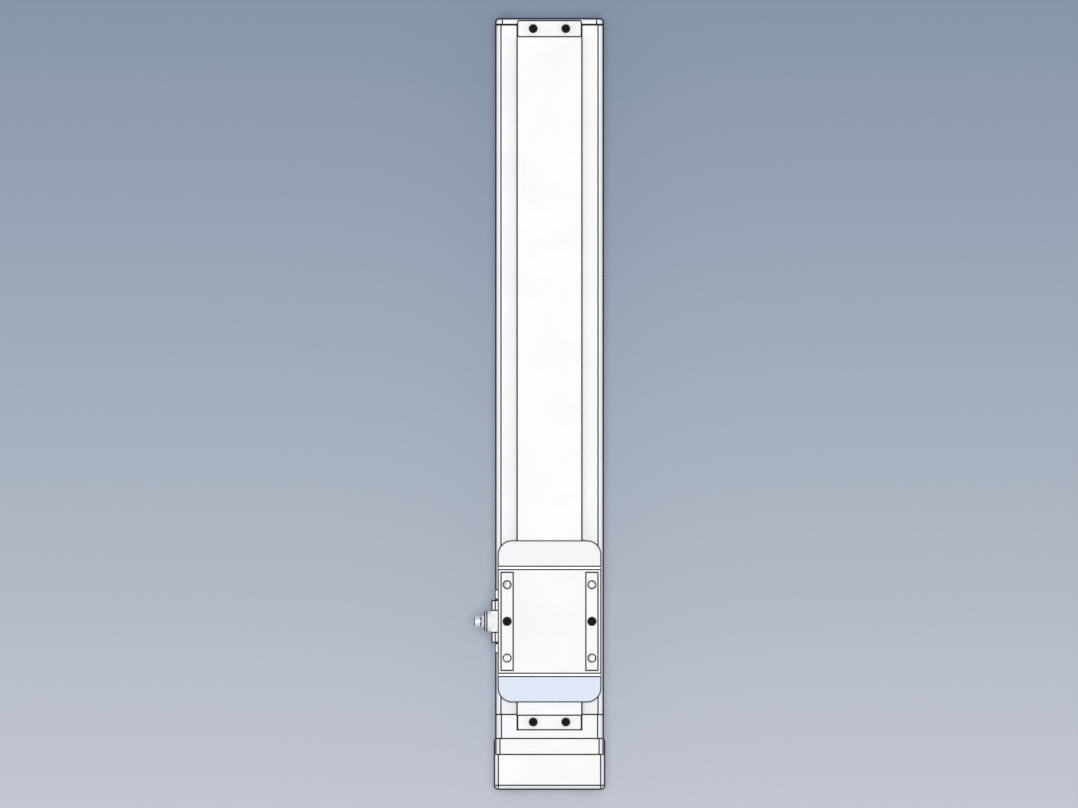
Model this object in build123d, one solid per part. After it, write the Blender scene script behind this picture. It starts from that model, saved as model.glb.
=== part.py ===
"""Ball screw linear axis, 65 mm wide, with a 300 mm stroke.

X runs across the axis, Y along it from the motor end to the far end, and Z up.
The origin lies on the underside, below the middle of the base extrusion.
The carriage stands at the motor end of its travel.
"""

import os
from math import cos, radians, sin

from build123d import *

# Travel, and the room that the carriage keeps to what stands in its way
stroke = 300.0
near_margin = 7.4
far_margin = 8.4
stop_gap = 3.0

# Clearances and thread proportions
seat_gap = 0.02
running_gap = 0.08
guide_gap = 0.3
moving_gap = 0.4
screw_hole_gap = 0.2
thread_core_share = 0.84
head_width_share = 1.5
head_width_extra = 1.0
socket_share = 0.8
flat_head_socket_share = 0.6
edge_break = 0.4
over = 1.0

# Base extrusion
body_width = 65.0
wall_height = 40.0
wall_thickness = 9.0
floor_thickness = 10.0
base_edge_radius = 1.0
chamber_width = 9.0
chamber_height = 4.0
chamber_rib = 3.0
chamber_corner_radius = 1.0
port_inset = 4.2
lower_port_height = 5.5
upper_port_drop = 3.8
sensor_slot_height = 15.0
sensor_slot_opening = 3.4
sensor_slot_lip = 1.4
sensor_slot_width = 6.0
sensor_slot_depth = 4.2
base_hole_size = 5.0
base_hole_spacing_x = 40.0
base_hole_spacings_y = [100.0, 300.0]
base_hole_roof = 2.0

# Guide rails, and the balls that run between them and the carriage
rail_height = 12.0
rail_pocket_depth = 2.5
rail_protrusion = 2.0
guide_ball_radius = 1.95
guide_ball_rise = 3.0
guide_ball_pitch = 6.2
guide_ball_rows_of = 7

# Side covers
body_height = 48.0
side_cover_flange = 3.5
side_cover_skin = 2.5
side_cover_leg = 2.0
body_corner_radius = 2.75
slot_width = 32.0
rabbet_depth = 1.3
rabbet_height = 3.0

# Centre cover and its clamps
cover_slit = 4.0
center_cover_width = 40.5
center_cover_thickness = 2.5
clamp_thickness = 2.0
clamp_screw_spacing = 20.0
clamp_screw_size = 3.0
clamp_screw_depth = 6.0
near_clamp_length = 9.8
far_clamp_length = 10.7
clamp_setback = 0.3
clamp_side_inset = 0.3
clamp_corner_radius = 1.5
near_clamp_screw_inset = 4.6
far_clamp_screw_inset = 2.2

# End pieces of the body
far_cap_thickness = 3.4
far_cap_corner_radius = 3.6
far_cap_edge_radius = 1.5
near_block_length = 14.7
near_block_edge_radius = 3.0
end_screw_size = 4.0
end_screw_grip = 10.0

# Screw line
screw_diameter = 12.0
screw_lead = 10.0
bearing_journal = 10.0
drive_journal = 8.0
far_journal = 8.0
journal_chamfer = 0.5
near_bearing_outer = 26.0
near_bearing_inner_ring = 14.6
near_bearing_width = 8.0
near_bearing_count = 2
far_bearing_outer = 22.0
far_bearing_inner_ring = 12.0
far_bearing_width = 7.0
bearing_ring_wall = 2.4
bearing_shield = 0.8
shield_gap = 0.25
bearing_lip = 2.5
bearing_lip_height = 3.0
boss_wall = 3.0
boss_floor_gap = 1.0
spacer_diameter = 14.0
lock_nut_diameter = 20.0
lock_nut_length = 6.0
lock_nut_slot = 3.0
snap_ring_thickness = 1.0
snap_ring_diameter = 11.0
snap_ring_groove = 0.4
shaft_end_length = 2.0
bumper_diameter = 30.0
bumper_bore = 17.0
bumper_thickness = 5.0
support_screw_size = 5.0
support_screw_spacing = 32.0
support_screw_grip = 7.0

# Bearing retainer
retainer_rim = 0.75
retainer_flange_thickness = 3.0
retainer_sleeve_wall = 1.5
retainer_screw_offset = 3.5
retainer_screw_size = 3.0
retainer_screw_grip = 6.0

# Coupling between the screw and the motor
coupling_diameter = 22.0
coupling_hub_length = 11.0
coupling_jaw_length = 6.0
coupling_core_diameter = 11.0
coupling_jaw_angle = 40.0
spider_leg_angle = 17.0
spider_bore = 9.0
coupling_axial_gap = 0.3
coupling_slit = 1.0
hub_screw_size = 2.5
hub_screw_offset = 7.4
hub_screw_seat = 3.0
motor_shaft_diameter = 8.0
hub_nut_gap = 1.1

# Coupling housing
housing_side_step = 0.9
housing_length = 30.7
housing_rise = 2.0
housing_edge_radius = 2.0
collar_length = 9.8
collar_edge_radius = 2.1
housing_chamber_diameter = 32.0
screw_head_chamber_margin = 0.5
screw_head_chamber_depth = 4.0
motor_pilot_diameter = 30.0
motor_pilot_depth = 3.5
motor_bolt_circle = 46.0
motor_bolt_size = 4.0
motor_bolt_depth = 12.0
housing_screw_low_offset = 6.3
housing_screw_low_height = 6.0
housing_screw_high_offset = 3.3
housing_screw_high_drop = 5.0
housing_screw_sink = 5.0
access_hole_diameter = 7.0
access_plug_length = 5.0
access_plug_recess = 1.5

# Carriage
carriage_side_inset = 0.7
block_length = 63.8
guide_floor_gap = 1.0
guide_cover_gap = 1.5
guide_block_corner_radius = 1.5
arm_root_radius = 1.2
return_hole_inset = 5.1
return_hole_radius = 2.1
nut_diameter = 24.0
nut_cap_length = 5.0
nut_cap_gap = 0.3
nut_key_width = 4.0
nut_key_height = 4.0
nut_key_length = 16.0
guide_plate_thickness = 5.0
guide_plate_inset = 0.4
guide_plate_bore = 14.0
guide_plate_screw_size = 2.5
guide_plate_screw_inset = 3.2
cover_side_gap = 0.6
cover_top_gap = 0.6
table_thickness = 6.0
table_edge_radius = 0.6
pad_rise = 0.8
pad_width = 7.4
pad_length = 60.1
payload_hole_size = 5.0
payload_hole_spacing_x = 52.0
payload_hole_spacing_y = 45.0
table_screw_size = 3.0
table_screw_sink = 3.3
table_screw_depth = 5.0
seal_plate_thickness = 1.8
end_cap_length = 16.0
end_cap_corner_radius = 8.9
end_cap_end_height = 9.4
end_cap_screw_size = 3.0
end_cap_screw_seat = 6.0
wiper_thickness = 3.0
wiper_rise = 2.4
wiper_gap = 0.3

# Lubrication port on the side of the carriage
port_plate_length = 39.5
port_plate_height = 10.4
port_plate_thickness = 1.5
port_plate_corner_radius = 1.2
port_boss_length = 26.4
port_boss_height = 9.0
port_boss_thickness = 2.4
port_collar_diameter = 12.6
port_collar_length = 6.8
port_collar_chamfer = 0.8
port_drop = 1.0
port_screw_size = 2.5
port_screw_spacing = 33.0
nipple_hex = 6.8
nipple_hex_length = 1.8
nipple_neck_diameter = 5.0
nipple_neck_length = 0.5
nipple_head_diameter = 6.6
nipple_head_length = 3.8
nipple_nose_chamfer = 0.9
nipple_thread_diameter = 6.0
nipple_thread_length = 5.0
grease_bore = 2.0

# Heights that follow from the sizes above
upper_port_height = wall_height - upper_port_drop
screw_axis_height = floor_thickness + boss_floor_gap + boss_wall + near_bearing_outer / 2
housing_height = body_height + housing_rise
cover_underside = body_height + cover_slit
cover_top = cover_underside + center_cover_thickness
clamp_top = cover_top + clamp_thickness
table_underside = cover_top + cover_top_gap
table_top = table_underside + table_thickness
pad_top = table_top + pad_rise
arm_underside = body_height + moving_gap
arm_top = cover_underside - moving_gap
guide_block_bottom = floor_thickness + guide_floor_gap
guide_block_top = body_height - side_cover_flange - guide_cover_gap
port_height = table_top - port_drop - port_plate_height / 2

# Half widths that follow
body_half_width = body_width / 2
channel_half_width = body_half_width - wall_thickness
rail_face_x = channel_half_width - rail_protrusion
guide_block_half_width = rail_face_x - guide_gap
guide_ball_x = rail_face_x - guide_gap / 2
slot_half_width = slot_width / 2
cover_half_width = center_cover_width / 2
shoulder_inner_x = cover_half_width + cover_side_gap
carriage_half_width = body_half_width - carriage_side_inset
port_x = body_half_width - port_inset
pad_center = payload_hole_spacing_x / 2
end_cap_screw_x = (shoulder_inner_x + carriage_half_width) / 2

# Housing and bearing retainer sizes that follow
housing_half_width = body_half_width + housing_side_step
retainer_screw_circle = near_bearing_outer + 2 * retainer_screw_offset
retainer_screw_head = head_width_share * retainer_screw_size + head_width_extra
retainer_flange_radius = (retainer_screw_circle + retainer_screw_head) / 2 + retainer_rim
screw_head_chamber_radius = retainer_flange_radius + screw_head_chamber_margin

# Stations along Y that follow
slider_length = block_length + 2 * (seal_plate_thickness + end_cap_length)
clamp_on_cap = far_cap_thickness - clamp_setback
clamp_on_body = far_clamp_length - clamp_on_cap
body_length = near_margin + slider_length + stroke + far_margin + clamp_on_body
body_near_y = -body_length / 2
body_far_y = body_length / 2
near_block_face_y = body_near_y - near_block_length
motor_face_y = near_block_face_y - housing_length
far_clamp_near_y = body_far_y - clamp_on_body
carriage_y = body_near_y + near_margin + slider_length / 2
block_near_y = carriage_y - block_length / 2
block_far_y = carriage_y + block_length / 2
inner_block_length = block_length - 2 * guide_plate_thickness
near_boss_y = block_near_y - stop_gap - bumper_thickness
near_bearing_far_y = near_boss_y - bearing_lip
near_bearing_near_y = near_bearing_far_y - near_bearing_count * near_bearing_width
far_block_near_y = block_far_y + stroke + stop_gap + bumper_thickness
far_bearing_near_y = far_block_near_y + bearing_lip
far_bearing_far_y = far_bearing_near_y + far_bearing_width
lock_nut_near_y = near_bearing_near_y - lock_nut_length
screw_hub_far_y = lock_nut_near_y - hub_nut_gap
drive_end_y = screw_hub_far_y - coupling_hub_length
spider_near_y = drive_end_y - coupling_jaw_length
motor_hub_near_y = spider_near_y - coupling_hub_length
far_support_y = (far_block_near_y + body_far_y) / 2

# Ways that a screw's head can face
toward_near = Rot(90, 0, 0)
toward_far = Rot(-90, 0, 0)
toward_below = Rot(180, 0, 0)
toward_left = Rot(0, -90, 0)
toward_right = Rot(0, 90, 0)


# Shapes that many pieces use

def rectangle(x_low, x_high, z_low, z_high):
    """A rectangle of a section, with X across and Z up."""
    return Pos((x_low + x_high) / 2, (z_low + z_high) / 2) * Rectangle(x_high - x_low, z_high - z_low)


def both_sides(shape):
    """A shape on the right, with its mirror image on the left."""
    return shape + mirror(shape, about=Plane.YZ)


def along_y(section, y_low, y_high):
    """A section extruded between two stations along the axis."""
    return Pos(0, y_high, 0) * Rot(90, 0, 0) * extrude(section, amount=y_high - y_low)


def block(x_low, x_high, y_low, y_high, z_low, z_high):
    """A rectangular block between three pairs of planes."""
    center = Pos((x_low + x_high) / 2, (y_low + y_high) / 2, (z_low + z_high) / 2)
    return center * Box(x_high - x_low, y_high - y_low, z_high - z_low)


def rod(radius, y_low, y_high, x=0.0, z=screw_axis_height):
    """A cylinder along Y, on the screw's axis unless told otherwise."""
    return Pos(x, (y_low + y_high) / 2, z) * Rot(90, 0, 0) * Cylinder(radius, y_high - y_low)


def ring(outer_radius, inner_radius, y_low, y_high):
    """A ring round the screw's axis."""
    return rod(outer_radius, y_low, y_high) - rod(inner_radius, y_low - over, y_high + over)


def group(shapes):
    """Separate solids kept together in one node."""
    return Compound([solid for shape in shapes for solid in shape.solids()])


# Socket cap screws and their holes, drawn pointing down with the head's seat at height 0

def core_radius(size):
    """The wall radius of a tapped hole, which is the core of its thread."""
    return size * thread_core_share / 2


def head_radius(size):
    """The radius of a cap screw's head."""
    return (head_width_share * size + head_width_extra) / 2


def hexagon_pin(across_flats, length):
    """A six-sided pin up from height 0."""
    return extrude(RegularPolygon(across_flats / 2, 6, major_radius=False), amount=length)


def cap_screw(size, length):
    """A socket cap screw with a shank of its thread's core size."""
    head = Pos(0, 0, size / 2) * Cylinder(head_radius(size), size)
    socket = Pos(0, 0, size / 2) * hexagon_pin(socket_share * size, size)
    shank = Pos(0, 0, -length / 2) * Cylinder(core_radius(size) - seat_gap, length)
    return head - socket + shank


def tapped_hole(size, depth):
    """A hole down from height 0."""
    return Pos(0, 0, (over - depth) / 2) * Cylinder(core_radius(size), depth + over)


def head_passage(size, sink, grip):
    """A counterbore above height 0 and a clearance hole below it."""
    counterbore = Pos(0, 0, (sink + over) / 2) * Cylinder(head_radius(size) + screw_hole_gap, sink + over)
    clearance = Pos(0, 0, -grip / 2) * Cylinder(size / 2 + screw_hole_gap, grip + 2 * over)
    return counterbore + clearance


def break_edges(edges):
    """The body that the edges belong to, with a small chamfer along them."""
    return chamfer(edges, edge_break)


def at_each(places, shape):
    """Copies of a shape at a list of places."""
    return [place * shape for place in places]


# Places of the screws

end_ports = [(side * port_x, height) for side in (-1, 1) for height in (lower_port_height, upper_port_height)]
near_block_screw_seat_y = body_near_y - near_block_length + end_screw_size + screw_hole_gap
near_block_screw_places = [Pos(x, near_block_screw_seat_y, z) * toward_near for x, z in end_ports]
far_cap_screw_places = [Pos(x, body_far_y + far_cap_thickness, z) * toward_far for x, z in end_ports]
near_clamp_screw_y = body_near_y - near_clamp_screw_inset
far_clamp_screw_y = body_far_y - far_clamp_screw_inset
near_clamp_screw_places = [Pos(side * clamp_screw_spacing / 2, near_clamp_screw_y, clamp_top) for side in (-1, 1)]
far_clamp_screw_places = [Pos(side * clamp_screw_spacing / 2, far_clamp_screw_y, clamp_top) for side in (-1, 1)]
support_screw_places = [
    Pos(side * support_screw_spacing / 2, far_support_y, floor_thickness - support_screw_grip / 2) * toward_below
    for side in (-1, 1)
]
retainer_screw_places = [
    Pos(
        retainer_screw_circle / 2 * cos(radians(angle)),
        near_block_face_y,
        screw_axis_height + retainer_screw_circle / 2 * sin(radians(angle)),
    )
    * toward_near
    for angle in (0, 90, 180, 270)
]
housing_screw_places = [
    Pos(side * x, motor_face_y + housing_screw_sink, z) * toward_near
    for side in (-1, 1)
    for x, z in (
        (port_x - housing_screw_low_offset, housing_screw_low_height),
        (port_x - housing_screw_high_offset, housing_height - housing_screw_high_drop),
    )
]
motor_bolt_places = [
    Pos(
        motor_bolt_circle / 2 * cos(radians(angle)),
        motor_face_y,
        screw_axis_height + motor_bolt_circle / 2 * sin(radians(angle)),
    )
    * toward_near
    for angle in (45, 135, 225, 315)
]
payload_hole_places = [
    Pos(side * payload_hole_spacing_x / 2, carriage_y + end * payload_hole_spacing_y / 2, pad_top)
    for side in (-1, 1)
    for end in (-1, 1)
]
table_screw_places = [Pos(side * pad_center, carriage_y, pad_top - table_screw_sink) for side in (-1, 1)]
port_screw_places = [
    Pos(-carriage_half_width - port_plate_thickness, carriage_y + end * port_screw_spacing / 2, port_height)
    * toward_left
    for end in (-1, 1)
]


# Body

def base_extrusion():
    """U-shaped profile with pockets for the rails, sensor slots, floor chambers and screw ports."""
    section = rectangle(-body_half_width, body_half_width, 0, wall_height)
    section -= rectangle(-channel_half_width, channel_half_width, floor_thickness, wall_height + over)
    section = fillet(section.vertices().group_by(Axis.Y)[0], base_edge_radius)
    rail_pocket = rectangle(
        channel_half_width - over,
        channel_half_width + rail_pocket_depth,
        screw_axis_height - rail_height / 2,
        screw_axis_height + rail_height / 2,
    )
    rabbet = rectangle(
        channel_half_width - over,
        channel_half_width + rabbet_depth,
        wall_height - rabbet_height,
        wall_height + over,
    )
    slot_mouth = rectangle(
        body_half_width - sensor_slot_depth,
        body_half_width + over,
        sensor_slot_height - sensor_slot_opening / 2,
        sensor_slot_height + sensor_slot_opening / 2,
    )
    slot_room = rectangle(
        body_half_width - sensor_slot_depth,
        body_half_width - sensor_slot_lip,
        sensor_slot_height - sensor_slot_width / 2,
        sensor_slot_height + sensor_slot_width / 2,
    )
    chamber = Pos((chamber_rib + chamber_width) / 2, floor_thickness / 2) * RectangleRounded(
        chamber_width, chamber_height, chamber_corner_radius
    )
    cuts = rail_pocket + rabbet + slot_mouth + slot_room + chamber
    for height in (lower_port_height, upper_port_height):
        cuts += Pos(port_x, height) * Circle(core_radius(end_screw_size))
    body = along_y(section - both_sides(cuts), body_near_y, body_far_y)
    base_hole = tapped_hole(base_hole_size, floor_thickness - base_hole_roof)
    for spacing_y in base_hole_spacings_y:
        for side in (-1, 1):
            for end in (-1, 1):
                place = Pos(side * base_hole_spacing_x / 2, end * spacing_y / 2, 0)
                body -= place * toward_below * base_hole
    passage = head_passage(support_screw_size, floor_thickness, support_screw_grip)
    for place in support_screw_places:
        body -= place * passage
    return body


def guide_rail():
    """Right-hand hardened strip with two ball grooves along its inner face."""
    section = rectangle(
        rail_face_x,
        channel_half_width + rail_pocket_depth - seat_gap,
        screw_axis_height - rail_height / 2 + seat_gap,
        screw_axis_height + rail_height / 2 - seat_gap,
    )
    for rise in (-guide_ball_rise, guide_ball_rise):
        section -= Pos(guide_ball_x, screw_axis_height + rise) * Circle(guide_ball_radius + running_gap)
    return along_y(section, body_near_y, body_far_y)


def side_cover():
    """Right-hand cover profile: flange beside the slot, outer skin, inner leg and its tongue."""
    flange = rectangle(slot_half_width, body_half_width, body_height - side_cover_flange, body_height)
    flange -= rectangle(channel_half_width, body_half_width + over, 0, wall_height)
    skin = rectangle(body_half_width - side_cover_skin, body_half_width, wall_height, body_height)
    leg = rectangle(channel_half_width, channel_half_width + side_cover_leg, wall_height, body_height)
    tongue = rectangle(
        channel_half_width,
        channel_half_width + rabbet_depth - seat_gap,
        wall_height - rabbet_height + seat_gap,
        wall_height,
    )
    section = flange + skin + leg + tongue
    top_corner = section.vertices().sort_by(Axis.X)[-2:].sort_by(Axis.Y)[-1]
    return along_y(fillet(top_corner, body_corner_radius), body_near_y, body_far_y)


def center_cover():
    """Plate over the slot, with open notches at both ends for the clamp screws."""
    near_y = body_near_y - near_clamp_length
    plate = block(-cover_half_width, cover_half_width, near_y, body_far_y, cover_underside, cover_top)
    plate = break_edges(plate.edges().filter_by(Axis.Y).group_by(Axis.Z)[-1])
    notch_radius = clamp_screw_size / 2 + screw_hole_gap
    for side in (-1, 1):
        x = side * clamp_screw_spacing / 2
        for screw_y, end_y in ((near_clamp_screw_y, near_y), (far_clamp_screw_y, body_far_y)):
            hole = Pos(x, screw_y, cover_underside) * Cylinder(notch_radius, 4 * center_cover_thickness)
            low_y = min(screw_y, end_y - over)
            high_y = max(screw_y, end_y + over)
            mouth = block(x - notch_radius, x + notch_radius, low_y, high_y, cover_underside - over, cover_top + over)
            plate -= hole + mouth
    return plate


def cover_clamp(near_y, far_y, screw_places):
    """Plate that holds one end of the centre cover down."""
    half_width = cover_half_width - clamp_side_inset
    plate = block(-half_width, half_width, near_y, far_y, cover_top, clamp_top)
    plate = fillet(plate.edges().filter_by(Axis.Z), clamp_corner_radius)
    plate = break_edges(plate.faces().sort_by(Axis.Z)[-1].edges())
    clearance = Cylinder(clamp_screw_size / 2 + screw_hole_gap, 4 * clamp_thickness)
    for place in screw_places:
        plate -= place * clearance
    return plate


def clamp_screw_length():
    """Length from a clamp's top down into its end piece."""
    return clamp_thickness + center_cover_thickness + clamp_screw_depth


def far_end_cap():
    """Plate that closes the far end, as high as the centre cover, with countersunk screws."""
    section = rectangle(-body_half_width, body_half_width, 0, cover_top)
    section = fillet(section.vertices().group_by(Axis.Y)[-1], far_cap_corner_radius)
    section = fillet(section.vertices().group_by(Axis.Y)[0], base_edge_radius)
    plate = along_y(section, body_far_y, body_far_y + far_cap_thickness)
    outer_face = plate.faces().sort_by(Axis.Y)[-1]
    plate = fillet(outer_face.edges(), far_cap_edge_radius)
    for place in far_cap_screw_places:
        plate -= place * countersink(end_screw_size, far_cap_thickness)
    return plate


def countersink(size, grip):
    """A cone down from height 0 with a clearance hole below it."""
    cone = Pos(0, 0, -size / 4) * Cone(size / 2 + screw_hole_gap, size + screw_hole_gap, size / 2)
    clearance = Pos(0, 0, -grip / 2) * Cylinder(size / 2 + screw_hole_gap, grip + 2 * over)
    return cone + clearance


def countersunk_screw(size, length):
    """A countersunk socket screw whose flat head lies at height 0."""
    head = Pos(0, 0, -size / 4) * Cone(size / 2, size - seat_gap, size / 2)
    shank = Pos(0, 0, -(size / 2 + length) / 2) * Cylinder(core_radius(size) - seat_gap, length - size / 2)
    socket = Pos(0, 0, -size / 4) * hexagon_pin(flat_head_socket_share * size, size)
    return head + shank - socket


def far_support_block():
    """Carries the far bearing, and its top seats the end of the centre cover."""
    section = rectangle(
        -rail_face_x + seat_gap, rail_face_x - seat_gap, floor_thickness, body_height - side_cover_flange
    )
    neck = slot_half_width - seat_gap
    section += rectangle(-neck, neck, floor_thickness, body_height)
    body = along_y(section, far_block_near_y, body_far_y)
    body += block(
        -cover_half_width, cover_half_width, far_clamp_near_y, body_far_y, body_height, cover_underside
    )
    body -= rod(far_bearing_outer / 2, far_bearing_near_y, body_far_y + over)
    body -= rod(far_bearing_outer / 2 - bearing_lip_height, far_block_near_y - over, body_far_y)
    for place in far_clamp_screw_places:
        body -= place * tapped_hole(clamp_screw_size, clamp_screw_length())
    thread = tapped_hole(support_screw_size, support_screw_size + support_screw_grip)
    for place in support_screw_places:
        body -= place * thread
    return body


def near_bearing_block():
    """End block with a boss that holds the fixed bearings and a recess for the near clamp."""
    body = block(-body_half_width, body_half_width, near_block_face_y, body_near_y, 0, clamp_top)
    top_edges = body.edges().filter_by(Axis.Y).group_by(Axis.Z)[-1]
    body = fillet(top_edges, near_block_edge_radius)
    bottom_edges = body.edges().filter_by(Axis.Y).group_by(Axis.Z)[0]
    body = fillet(bottom_edges, base_edge_radius)
    end_faces = body.faces().sort_by(Axis.Y)
    body = break_edges(end_faces[0].edges() + end_faces[-1].edges())
    body += rod(near_bearing_outer / 2 + boss_wall, body_near_y - over, near_boss_y)
    body -= rod(near_bearing_outer / 2, near_block_face_y - over, near_bearing_far_y)
    body -= rod(near_bearing_outer / 2 - bearing_lip_height, near_block_face_y, near_boss_y + over)
    body -= rod(
        retainer_flange_radius + seat_gap,
        near_block_face_y - over,
        near_block_face_y + retainer_flange_thickness,
    )
    recess_half_width = cover_half_width + seat_gap
    body -= block(
        -recess_half_width,
        recess_half_width,
        body_near_y - near_clamp_length - seat_gap,
        body_near_y + over,
        cover_underside,
        clamp_top + over,
    )
    passage = head_passage(end_screw_size, end_screw_size, near_block_length)
    for place in near_block_screw_places:
        body -= place * passage
    for place in near_clamp_screw_places:
        body -= place * tapped_hole(clamp_screw_size, clamp_screw_length())
    retainer_thread = tapped_hole(retainer_screw_size, retainer_flange_thickness + retainer_screw_grip)
    for place in retainer_screw_places:
        body -= place * retainer_thread
    housing_thread = tapped_hole(motor_bolt_size, housing_length - housing_screw_sink + housing_screw_grip())
    for place in housing_screw_places:
        body -= place * housing_thread
    return body


def housing_screw_grip():
    """Depth that the housing's screws reach into the bearing block."""
    return 2 * motor_bolt_size


def bearing_retainer():
    """Flanged sleeve that holds the outer rings of the fixed bearings against their lip."""
    flange_far_y = near_block_face_y + retainer_flange_thickness
    body = rod(retainer_flange_radius, near_block_face_y, flange_far_y)
    body += rod(near_bearing_outer / 2 - seat_gap, near_block_face_y, near_bearing_near_y)
    sleeve_bore_radius = near_bearing_outer / 2 - retainer_sleeve_wall
    body -= rod(sleeve_bore_radius, near_block_face_y - over, near_bearing_near_y + over)
    clearance = Cylinder(retainer_screw_size / 2 + screw_hole_gap, 4 * retainer_flange_thickness)
    for place in retainer_screw_places:
        body -= place * clearance
    return body


def coupling_housing():
    """Housing between bearing block and motor, with a raised collar at the block."""
    body = block(
        -housing_half_width, housing_half_width, motor_face_y, near_block_face_y, 0, housing_height
    )
    motor_outline = body.faces().sort_by(Axis.Y)[0].edges().sort_by(Axis.Z)[1:]
    long_edges = body.faces().sort_by(Axis.Z)[-1].edges().filter_by(Axis.Y)
    body = fillet(motor_outline + long_edges, housing_edge_radius)
    body = break_edges(body.faces().sort_by(Axis.Y)[-1].edges())
    collar = block(
        -body_half_width,
        body_half_width,
        near_block_face_y - collar_length,
        near_block_face_y,
        housing_height - 2 * housing_edge_radius,
        clamp_top,
    )
    collar_edges = collar.edges().filter_by(Axis.Y).group_by(Axis.Z)[-1]
    collar = fillet(collar_edges, collar_edge_radius)
    body += break_edges(collar.faces().sort_by(Axis.Y)[-1].edges())
    body -= rod(motor_pilot_diameter / 2, motor_face_y - over, motor_face_y + motor_pilot_depth)
    body -= rod(housing_chamber_diameter / 2, motor_face_y + motor_pilot_depth, near_block_face_y + over)
    body -= rod(
        screw_head_chamber_radius, near_block_face_y - screw_head_chamber_depth, near_block_face_y + over
    )
    passage = head_passage(motor_bolt_size, housing_screw_sink, housing_length)
    for place in housing_screw_places:
        body -= place * passage
    motor_thread = tapped_hole(motor_bolt_size, motor_bolt_depth)
    for place in motor_bolt_places:
        body -= place * motor_thread
    access = Cylinder(access_hole_diameter / 2, 2 * housing_half_width)
    body -= access_place() * Pos(0, 0, housing_half_width) * access
    return body


def access_place():
    """Where the hole to the motor hub's clamp screw starts, on the screw line, pointing right."""
    hub_center_y = motor_hub_near_y + coupling_hub_length / 2
    return Pos(0, hub_center_y, screw_axis_height + hub_screw_offset) * toward_right


def access_plug():
    """Plastic plug that closes the access hole flush with the housing's side."""
    outer_end = housing_half_width
    plug = Pos(0, 0, outer_end - access_plug_length / 2) * Cylinder(
        access_hole_diameter / 2 - seat_gap, access_plug_length
    )
    recess = Pos(0, 0, outer_end) * Box(
        access_hole_diameter / 2, access_plug_recess / 2, 2 * access_plug_recess
    )
    return access_place() * (plug - recess)


def bumper(y_low):
    """Rubber ring that stops the carriage."""
    return ring(bumper_diameter / 2, bumper_bore / 2, y_low, y_low + bumper_thickness)


# Screw line

def bearing_outer_ring(diameter, inner_ring_diameter, width, y_low):
    """Outer ring with a shield on each face, which hides the balls."""
    shield_radius = inner_ring_diameter / 2 + shield_gap
    body = ring(diameter / 2 - seat_gap, shield_radius, y_low, y_low + width)
    hollow = ring(
        diameter / 2 - bearing_ring_wall,
        shield_radius - over,
        y_low + bearing_shield,
        y_low + width - bearing_shield,
    )
    return body - hollow


def screw_shaft():
    """Stepped shaft: drive end, bearing journal, screw and far journal."""
    drive = rod(drive_journal / 2, drive_end_y, lock_nut_near_y)
    drive = chamfer(drive.faces().sort_by(Axis.Y)[0].edges(), journal_chamfer)
    shaft = drive + rod(bearing_journal / 2, lock_nut_near_y, near_boss_y)
    shaft += rod(screw_diameter / 2, near_boss_y, far_bearing_near_y)
    far_end_y = far_bearing_far_y + snap_ring_thickness + shaft_end_length
    far = rod(far_journal / 2, far_bearing_near_y, far_end_y)
    shaft += chamfer(far.faces().sort_by(Axis.Y)[-1].edges(), journal_chamfer)
    groove = ring(
        far_journal / 2 + over,
        far_journal / 2 - snap_ring_groove,
        far_bearing_far_y,
        far_bearing_far_y + snap_ring_thickness,
    )
    return shaft - groove


def lock_nut():
    """Slotted round nut that pulls the screw up against the fixed bearings."""
    body = ring(lock_nut_diameter / 2, bearing_journal / 2 + seat_gap, lock_nut_near_y, near_bearing_near_y)
    slot = block(
        -lock_nut_slot / 2,
        lock_nut_slot / 2,
        lock_nut_near_y - over,
        lock_nut_near_y + lock_nut_length / 2,
        lock_nut_diameter / 2 - lock_nut_slot / 2,
        lock_nut_diameter,
    )
    for angle in (0, 90, 180, 270):
        body -= Pos(0, 0, screw_axis_height) * Rot(0, angle, 0) * slot
    return body


def sector(inner_radius, outer_radius, middle_angle, sweep):
    """A sector of an annulus round the screw's axis."""
    reach = 2 * outer_radius
    corners = [
        (reach * cos(radians(middle_angle + turn)), reach * sin(radians(middle_angle + turn)))
        for turn in (-sweep / 2, sweep / 2)
    ]
    wedge = Polygon((0, 0), *corners, align=None)
    annulus = Circle(outer_radius) - Circle(inner_radius)
    return Pos(0, screw_axis_height) * (wedge & annulus)


def coupling_hub(body_near, body_far, jaw_near, jaw_far, first_angle, bore_diameter):
    """Clamping hub with three jaws round its rim."""
    radius = coupling_diameter / 2
    body = rod(radius, body_near, body_far)
    for turn in (0, 120, 240):
        jaw = sector(coupling_core_diameter / 2, radius, first_angle + turn, coupling_jaw_angle)
        body += along_y(jaw, jaw_near, jaw_far)
    body -= rod(bore_diameter / 2, body_near - over, body_far + over)
    body -= block(
        -coupling_slit / 2,
        coupling_slit / 2,
        body_near - over,
        body_far + over,
        screw_axis_height,
        screw_axis_height + radius + over,
    ) - rod(radius + over, jaw_near, jaw_far)
    place = hub_screw_place((body_near + body_far) / 2)
    passage = head_passage(hub_screw_size, radius, hub_screw_seat)
    thread = Pos(0, 0, -hub_screw_seat) * tapped_hole(hub_screw_size, radius)
    return body - place * passage - place * thread


def hub_screw_place(y):
    """Where a hub's clamp screw has its head, beside the slit."""
    return Pos(hub_screw_seat, y, screw_axis_height + hub_screw_offset) * toward_right


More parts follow.
